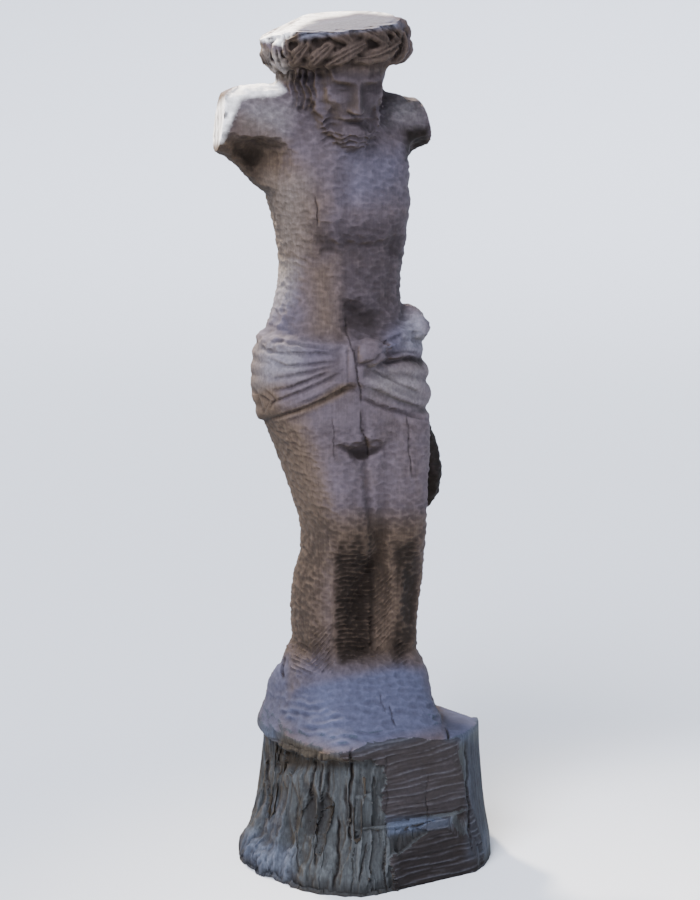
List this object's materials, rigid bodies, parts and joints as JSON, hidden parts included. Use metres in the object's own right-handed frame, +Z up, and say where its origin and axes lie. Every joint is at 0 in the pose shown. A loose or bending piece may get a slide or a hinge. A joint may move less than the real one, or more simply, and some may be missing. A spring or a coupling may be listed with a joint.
{
  "type": "carved wooden corpus",
  "caption": "Armless carved wooden corpus with a plaited crown of thorns and a knotted loincloth, standing on the stump of the log it was cut from.",
  "frame": {"origin": "middle of the bounding box at floor level, under the stump", "axes": "+Z up the log, the figure's front faces -Y and its left side is +X"},
  "size_m": [0.5976, 0.5036, 1.8021],
  "materials": {
    "wood": "weathered, gouged"
  },
  "bodies": {
    "root": {"corpus": "wood"}
  },
  "joints": []
}
